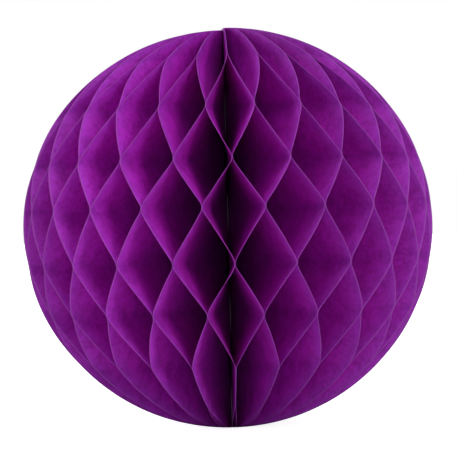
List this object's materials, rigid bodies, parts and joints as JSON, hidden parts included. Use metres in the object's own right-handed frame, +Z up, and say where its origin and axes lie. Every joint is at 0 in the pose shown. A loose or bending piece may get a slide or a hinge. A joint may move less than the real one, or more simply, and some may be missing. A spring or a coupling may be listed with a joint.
{
  "type": "paper honeycomb ball",
  "caption": "Hanging tissue-paper honeycomb ball that folds flat about its spine between two half-moon cover cards.",
  "frame": {"origin": "centre of the open ball, on its bound edge", "axes": "+Z up along the bound edge and its thread, +Y to the seam where the two cover cards meet at the back, -Y to the front"},
  "size_m": [0.2, 0.1997, 0.1954],
  "materials": {
    "tissue": "matte, fine mottled tissue",
    "card": "matte, uncoated",
    "thread": "twisted cotton",
    "adhesive": "tacky, half clear"
  },
  "bodies": {
    "left_card": {"cover_card_left": "card", "adhesive_pads": "adhesive", "spine_thread": "thread", "top_knot": "thread", "bottom_knot": "thread"},
    "right_card": {"cover_card_right": "card"},
    "leaf_01": {"leaf_01": "tissue"},
    "leaf_02": {"leaf_02": "tissue"},
    "leaf_03": {"leaf_03": "tissue"},
    "leaf_04": {"leaf_04": "tissue"},
    "leaf_05": {"leaf_05": "tissue"},
    "leaf_06": {"leaf_06": "tissue"},
    "leaf_07": {"leaf_07": "tissue"},
    "leaf_08": {"leaf_08": "tissue"},
    "leaf_09": {"leaf_09": "tissue"},
    "leaf_10": {"leaf_10": "tissue"},
    "leaf_11": {"leaf_11": "tissue"},
    "leaf_12": {"leaf_12": "tissue"},
    "leaf_13": {"leaf_13": "tissue"},
    "leaf_14": {"leaf_14": "tissue"},
    "leaf_15": {"leaf_15": "tissue"},
    "leaf_16": {"leaf_16": "tissue"},
    "leaf_17": {"leaf_17": "tissue"},
    "leaf_18": {"leaf_18": "tissue"},
    "leaf_19": {"leaf_19": "tissue"},
    "leaf_20": {"leaf_20": "tissue"},
    "leaf_21": {"leaf_21": "tissue"},
    "leaf_22": {"leaf_22": "tissue"},
    "leaf_23": {"leaf_23": "tissue"},
    "leaf_24": {"leaf_24": "tissue"},
    "leaf_25": {"leaf_25": "tissue"},
    "leaf_26": {"leaf_26": "tissue"},
    "leaf_27": {"leaf_27": "tissue"},
    "leaf_28": {"leaf_28": "tissue"},
    "leaf_29": {"leaf_29": "tissue"},
    "leaf_30": {"leaf_30": "tissue"},
    "leaf_31": {"leaf_31": "tissue"},
    "leaf_32": {"leaf_32": "tissue"},
    "leaf_33": {"leaf_33": "tissue"},
    "leaf_34": {"leaf_34": "tissue"},
    "leaf_35": {"leaf_35": "tissue"},
    "leaf_36": {"leaf_36": "tissue"},
    "leaf_37": {"leaf_37": "tissue"},
    "leaf_38": {"leaf_38": "tissue"},
    "leaf_39": {"leaf_39": "tissue"},
    "leaf_40": {"leaf_40": "tissue"},
    "leaf_41": {"leaf_41": "tissue"},
    "leaf_42": {"leaf_42": "tissue"},
    "leaf_43": {"leaf_43": "tissue"},
    "leaf_44": {"leaf_44": "tissue"},
    "leaf_45": {"leaf_45": "tissue"},
    "leaf_46": {"leaf_46": "tissue"}
  },
  "joints": [
    {"name": "fold", "type": "hinge", "parent": "left_card", "child": "right_card", "pos_m": [0, 0, 0], "axis": [0, 0, 1], "range_deg": [-352, 0]},
    {"name": "leaf_01_turn", "type": "hinge", "parent": "left_card", "child": "leaf_01", "pos_m": [0, 0, 0], "axis": [0, 0, 1], "range_deg": [-3.84, 0], "deforming": ["leaf_01"]},
    {"name": "leaf_02_turn", "type": "hinge", "parent": "left_card", "child": "leaf_02", "pos_m": [0, 0, 0], "axis": [0, 0, 1], "range_deg": [-11.49, 0], "deforming": ["leaf_02"]},
    {"name": "leaf_03_turn", "type": "hinge", "parent": "left_card", "child": "leaf_03", "pos_m": [0, 0, 0], "axis": [0, 0, 1], "range_deg": [-19.14, 0], "deforming": ["leaf_03"]},
    {"name": "leaf_04_turn", "type": "hinge", "parent": "left_card", "child": "leaf_04", "pos_m": [0, 0, 0], "axis": [0, 0, 1], "range_deg": [-26.79, 0], "deforming": ["leaf_04"]},
    {"name": "leaf_05_turn", "type": "hinge", "parent": "left_card", "child": "leaf_05", "pos_m": [0, 0, 0], "axis": [0, 0, 1], "range_deg": [-34.45, 0], "deforming": ["leaf_05"]},
    {"name": "leaf_06_turn", "type": "hinge", "parent": "left_card", "child": "leaf_06", "pos_m": [0, 0, 0], "axis": [0, 0, 1], "range_deg": [-42.1, 0], "deforming": ["leaf_06"]},
    {"name": "leaf_07_turn", "type": "hinge", "parent": "left_card", "child": "leaf_07", "pos_m": [0, 0, 0], "axis": [0, 0, 1], "range_deg": [-49.75, 0], "deforming": ["leaf_07"]},
    {"name": "leaf_08_turn", "type": "hinge", "parent": "left_card", "child": "leaf_08", "pos_m": [0, 0, 0], "axis": [0, 0, 1], "range_deg": [-57.4, 0], "deforming": ["leaf_08"]},
    {"name": "leaf_09_turn", "type": "hinge", "parent": "left_card", "child": "leaf_09", "pos_m": [0, 0, 0], "axis": [0, 0, 1], "range_deg": [-65.05, 0], "deforming": ["leaf_09"]},
    {"name": "leaf_10_turn", "type": "hinge", "parent": "left_card", "child": "leaf_10", "pos_m": [0, 0, 0], "axis": [0, 0, 1], "range_deg": [-72.71, 0], "deforming": ["leaf_10"]},
    {"name": "leaf_11_turn", "type": "hinge", "parent": "left_card", "child": "leaf_11", "pos_m": [0, 0, 0], "axis": [0, 0, 1], "range_deg": [-80.36, 0], "deforming": ["leaf_11"]},
    {"name": "leaf_12_turn", "type": "hinge", "parent": "left_card", "child": "leaf_12", "pos_m": [0, 0, 0], "axis": [0, 0, 1], "range_deg": [-88.01, 0], "deforming": ["leaf_12"]},
    {"name": "leaf_13_turn", "type": "hinge", "parent": "left_card", "child": "leaf_13", "pos_m": [0, 0, 0], "axis": [0, 0, 1], "range_deg": [-95.66, 0], "deforming": ["leaf_13"]},
    {"name": "leaf_14_turn", "type": "hinge", "parent": "left_card", "child": "leaf_14", "pos_m": [0, 0, 0], "axis": [0, 0, 1], "range_deg": [-103.31, 0], "deforming": ["leaf_14"]},
    {"name": "leaf_15_turn", "type": "hinge", "parent": "left_card", "child": "leaf_15", "pos_m": [0, 0, 0], "axis": [0, 0, 1], "range_deg": [-110.97, 0], "deforming": ["leaf_15"]},
    {"name": "leaf_16_turn", "type": "hinge", "parent": "left_card", "child": "leaf_16", "pos_m": [0, 0, 0], "axis": [0, 0, 1], "range_deg": [-118.62, 0], "deforming": ["leaf_16"]},
    {"name": "leaf_17_turn", "type": "hinge", "parent": "left_card", "child": "leaf_17", "pos_m": [0, 0, 0], "axis": [0, 0, 1], "range_deg": [-126.27, 0], "deforming": ["leaf_17"]},
    {"name": "leaf_18_turn", "type": "hinge", "parent": "left_card", "child": "leaf_18", "pos_m": [0, 0, 0], "axis": [0, 0, 1], "range_deg": [-133.92, 0], "deforming": ["leaf_18"]},
    {"name": "leaf_19_turn", "type": "hinge", "parent": "left_card", "child": "leaf_19", "pos_m": [0, 0, 0], "axis": [0, 0, 1], "range_deg": [-141.57, 0], "deforming": ["leaf_19"]},
    {"name": "leaf_20_turn", "type": "hinge", "parent": "left_card", "child": "leaf_20", "pos_m": [0, 0, 0], "axis": [0, 0, 1], "range_deg": [-149.23, 0], "deforming": ["leaf_20"]},
    {"name": "leaf_21_turn", "type": "hinge", "parent": "left_card", "child": "leaf_21", "pos_m": [0, 0, 0], "axis": [0, 0, 1], "range_deg": [-156.88, 0], "deforming": ["leaf_21"]},
    {"name": "leaf_22_turn", "type": "hinge", "parent": "left_card", "child": "leaf_22", "pos_m": [0, 0, 0], "axis": [0, 0, 1], "range_deg": [-164.53, 0], "deforming": ["leaf_22"]},
    {"name": "leaf_23_turn", "type": "hinge", "parent": "left_card", "child": "leaf_23", "pos_m": [0, 0, 0], "axis": [0, 0, 1], "range_deg": [-172.18, 0], "deforming": ["leaf_23"]},
    {"name": "leaf_24_turn", "type": "hinge", "parent": "left_card", "child": "leaf_24", "pos_m": [0, 0, 0], "axis": [0, 0, 1], "range_deg": [-179.84, 0], "deforming": ["leaf_24"]},
    {"name": "leaf_25_turn", "type": "hinge", "parent": "left_card", "child": "leaf_25", "pos_m": [0, 0, 0], "axis": [0, 0, 1], "range_deg": [-187.49, 0], "deforming": ["leaf_25"]},
    {"name": "leaf_26_turn", "type": "hinge", "parent": "left_card", "child": "leaf_26", "pos_m": [0, 0, 0], "axis": [0, 0, 1], "range_deg": [-195.14, 0], "deforming": ["leaf_26"]},
    {"name": "leaf_27_turn", "type": "hinge", "parent": "left_card", "child": "leaf_27", "pos_m": [0, 0, 0], "axis": [0, 0, 1], "range_deg": [-202.79, 0], "deforming": ["leaf_27"]},
    {"name": "leaf_28_turn", "type": "hinge", "parent": "left_card", "child": "leaf_28", "pos_m": [0, 0, 0], "axis": [0, 0, 1], "range_deg": [-210.44, 0], "deforming": ["leaf_28"]},
    {"name": "leaf_29_turn", "type": "hinge", "parent": "left_card", "child": "leaf_29", "pos_m": [0, 0, 0], "axis": [0, 0, 1], "range_deg": [-218.1, 0], "deforming": ["leaf_29"]},
    {"name": "leaf_30_turn", "type": "hinge", "parent": "left_card", "child": "leaf_30", "pos_m": [0, 0, 0], "axis": [0, 0, 1], "range_deg": [-225.75, 0], "deforming": ["leaf_30"]},
    {"name": "leaf_31_turn", "type": "hinge", "parent": "left_card", "child": "leaf_31", "pos_m": [0, 0, 0], "axis": [0, 0, 1], "range_deg": [-233.4, 0], "deforming": ["leaf_31"]},
    {"name": "leaf_32_turn", "type": "hinge", "parent": "left_card", "child": "leaf_32", "pos_m": [0, 0, 0], "axis": [0, 0, 1], "range_deg": [-241.05, 0], "deforming": ["leaf_32"]},
    {"name": "leaf_33_turn", "type": "hinge", "parent": "left_card", "child": "leaf_33", "pos_m": [0, 0, 0], "axis": [0, 0, 1], "range_deg": [-248.71, 0], "deforming": ["leaf_33"]},
    {"name": "leaf_34_turn", "type": "hinge", "parent": "left_card", "child": "leaf_34", "pos_m": [0, 0, 0], "axis": [0, 0, 1], "range_deg": [-256.36, 0], "deforming": ["leaf_34"]},
    {"name": "leaf_35_turn", "type": "hinge", "parent": "left_card", "child": "leaf_35", "pos_m": [0, 0, 0], "axis": [0, 0, 1], "range_deg": [-264.01, 0], "deforming": ["leaf_35"]},
    {"name": "leaf_36_turn", "type": "hinge", "parent": "left_card", "child": "leaf_36", "pos_m": [0, 0, 0], "axis": [0, 0, 1], "range_deg": [-271.66, 0], "deforming": ["leaf_36"]},
    {"name": "leaf_37_turn", "type": "hinge", "parent": "left_card", "child": "leaf_37", "pos_m": [0, 0, 0], "axis": [0, 0, 1], "range_deg": [-279.31, 0], "deforming": ["leaf_37"]},
    {"name": "leaf_38_turn", "type": "hinge", "parent": "left_card", "child": "leaf_38", "pos_m": [0, 0, 0], "axis": [0, 0, 1], "range_deg": [-286.97, 0], "deforming": ["leaf_38"]},
    {"name": "leaf_39_turn", "type": "hinge", "parent": "left_card", "child": "leaf_39", "pos_m": [0, 0, 0], "axis": [0, 0, 1], "range_deg": [-294.62, 0], "deforming": ["leaf_39"]},
    {"name": "leaf_40_turn", "type": "hinge", "parent": "left_card", "child": "leaf_40", "pos_m": [0, 0, 0], "axis": [0, 0, 1], "range_deg": [-302.27, 0], "deforming": ["leaf_40"]},
    {"name": "leaf_41_turn", "type": "hinge", "parent": "left_card", "child": "leaf_41", "pos_m": [0, 0, 0], "axis": [0, 0, 1], "range_deg": [-309.92, 0], "deforming": ["leaf_41"]},
    {"name": "leaf_42_turn", "type": "hinge", "parent": "left_card", "child": "leaf_42", "pos_m": [0, 0, 0], "axis": [0, 0, 1], "range_deg": [-317.57, 0], "deforming": ["leaf_42"]},
    {"name": "leaf_43_turn", "type": "hinge", "parent": "left_card", "child": "leaf_43", "pos_m": [0, 0, 0], "axis": [0, 0, 1], "range_deg": [-325.23, 0], "deforming": ["leaf_43"]},
    {"name": "leaf_44_turn", "type": "hinge", "parent": "left_card", "child": "leaf_44", "pos_m": [0, 0, 0], "axis": [0, 0, 1], "range_deg": [-332.88, 0], "deforming": ["leaf_44"]},
    {"name": "leaf_45_turn", "type": "hinge", "parent": "left_card", "child": "leaf_45", "pos_m": [0, 0, 0], "axis": [0, 0, 1], "range_deg": [-340.53, 0], "deforming": ["leaf_45"]},
    {"name": "leaf_46_turn", "type": "hinge", "parent": "left_card", "child": "leaf_46", "pos_m": [0, 0, 0], "axis": [0, 0, 1], "range_deg": [-348.18, 0], "deforming": ["leaf_46"]}
  ],
  "couplings": [
    {"joint": "leaf_01_turn", "follows": "fold", "ratio": 0.01087},
    {"joint": "leaf_02_turn", "follows": "fold", "ratio": 0.032609},
    {"joint": "leaf_03_turn", "follows": "fold", "ratio": 0.054348},
    {"joint": "leaf_04_turn", "follows": "fold", "ratio": 0.076087},
    {"joint": "leaf_05_turn", "follows": "fold", "ratio": 0.097826},
    {"joint": "leaf_06_turn", "follows": "fold", "ratio": 0.11957},
    {"joint": "leaf_07_turn", "follows": "fold", "ratio": 0.1413},
    {"joint": "leaf_08_turn", "follows": "fold", "ratio": 0.16304},
    {"joint": "leaf_09_turn", "follows": "fold", "ratio": 0.18478},
    {"joint": "leaf_10_turn", "follows": "fold", "ratio": 0.20652},
    {"joint": "leaf_11_turn", "follows": "fold", "ratio": 0.22826},
    {"joint": "leaf_12_turn", "follows": "fold", "ratio": 0.25},
    {"joint": "leaf_13_turn", "follows": "fold", "ratio": 0.27174},
    {"joint": "leaf_14_turn", "follows": "fold", "ratio": 0.29348},
    {"joint": "leaf_15_turn", "follows": "fold", "ratio": 0.31522},
    {"joint": "leaf_16_turn", "follows": "fold", "ratio": 0.33696},
    {"joint": "leaf_17_turn", "follows": "fold", "ratio": 0.3587},
    {"joint": "leaf_18_turn", "follows": "fold", "ratio": 0.38044},
    {"joint": "leaf_19_turn", "follows": "fold", "ratio": 0.40217},
    {"joint": "leaf_20_turn", "follows": "fold", "ratio": 0.42391},
    {"joint": "leaf_21_turn", "follows": "fold", "ratio": 0.44565},
    {"joint": "leaf_22_turn", "follows": "fold", "ratio": 0.46739},
    {"joint": "leaf_23_turn", "follows": "fold", "ratio": 0.48913},
    {"joint": "leaf_24_turn", "follows": "fold", "ratio": 0.51087},
    {"joint": "leaf_25_turn", "follows": "fold", "ratio": 0.53261},
    {"joint": "leaf_26_turn", "follows": "fold", "ratio": 0.55435},
    {"joint": "leaf_27_turn", "follows": "fold", "ratio": 0.57609},
    {"joint": "leaf_28_turn", "follows": "fold", "ratio": 0.59783},
    {"joint": "leaf_29_turn", "follows": "fold", "ratio": 0.61957},
    {"joint": "leaf_30_turn", "follows": "fold", "ratio": 0.6413},
    {"joint": "leaf_31_turn", "follows": "fold", "ratio": 0.66304},
    {"joint": "leaf_32_turn", "follows": "fold", "ratio": 0.68478},
    {"joint": "leaf_33_turn", "follows": "fold", "ratio": 0.70652},
    {"joint": "leaf_34_turn", "follows": "fold", "ratio": 0.72826},
    {"joint": "leaf_35_turn", "follows": "fold", "ratio": 0.75},
    {"joint": "leaf_36_turn", "follows": "fold", "ratio": 0.77174},
    {"joint": "leaf_37_turn", "follows": "fold", "ratio": 0.79348},
    {"joint": "leaf_38_turn", "follows": "fold", "ratio": 0.81522},
    {"joint": "leaf_39_turn", "follows": "fold", "ratio": 0.83696},
    {"joint": "leaf_40_turn", "follows": "fold", "ratio": 0.8587},
    {"joint": "leaf_41_turn", "follows": "fold", "ratio": 0.88043},
    {"joint": "leaf_42_turn", "follows": "fold", "ratio": 0.90217},
    {"joint": "leaf_43_turn", "follows": "fold", "ratio": 0.92391},
    {"joint": "leaf_44_turn", "follows": "fold", "ratio": 0.94565},
    {"joint": "leaf_45_turn", "follows": "fold", "ratio": 0.96739},
    {"joint": "leaf_46_turn", "follows": "fold", "ratio": 0.98913}
  ]
}
